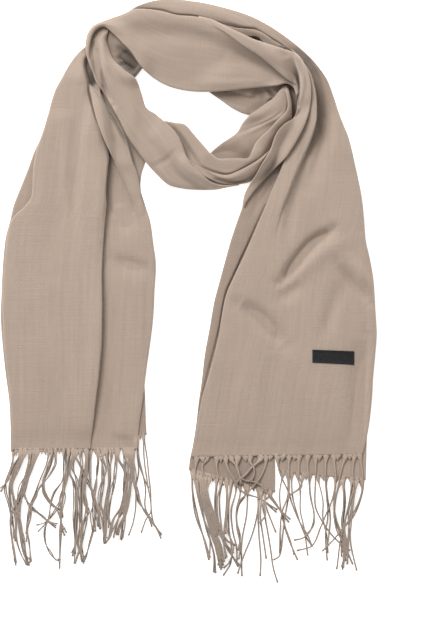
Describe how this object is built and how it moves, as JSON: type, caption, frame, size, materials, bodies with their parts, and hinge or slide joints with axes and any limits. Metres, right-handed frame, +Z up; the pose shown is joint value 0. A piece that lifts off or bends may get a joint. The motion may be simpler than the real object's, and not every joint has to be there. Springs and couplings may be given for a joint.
{
  "type": "fringed shawl laid flat",
  "caption": "Long plain woven shawl with twisted fringe at both ends, wrapped once round a neck opening and laid flat with two tails.",
  "frame": {"origin": "on the surface the shawl lies on, below the middle of its outline in plan", "axes": "+Z up from the surface, +Y along the shawl from the fringes to the neck loop, +X towards the tail with the label"},
  "size_m": [0.4312, 0.6652, 0.0293],
  "materials": {
    "cloth": "fine plain weave with light slubs, soft matte nap, taupe",
    "yarn": "twisted matte yarn, taupe",
    "label": "close woven satin tape, black, blank"
  },
  "bodies": {
    "root": {"left_tail_back": "cloth", "left_tail_edge": "cloth", "left_tail_inner": "cloth", "left_tail_front": "cloth", "left_tail_fold": "cloth", "arch_layer": "cloth", "neck_layer": "cloth", "right_tail_back": "cloth", "right_tail_side": "cloth", "right_tail_front": "cloth", "neck_sliver": "cloth", "loop_right_arm": "cloth", "loop_bottom": "cloth", "loop_second_fold": "cloth", "loop_left_arm": "cloth", "neck_band": "cloth", "shoulder_fold": "cloth", "label": "label", "fringe_left_back": "yarn", "fringe_left_edge": "yarn", "fringe_left_inner": "yarn", "fringe_left_front": "yarn", "fringe_right_back": "yarn", "fringe_right_side": "yarn", "fringe_right_front": "yarn"}
  },
  "joints": []
}
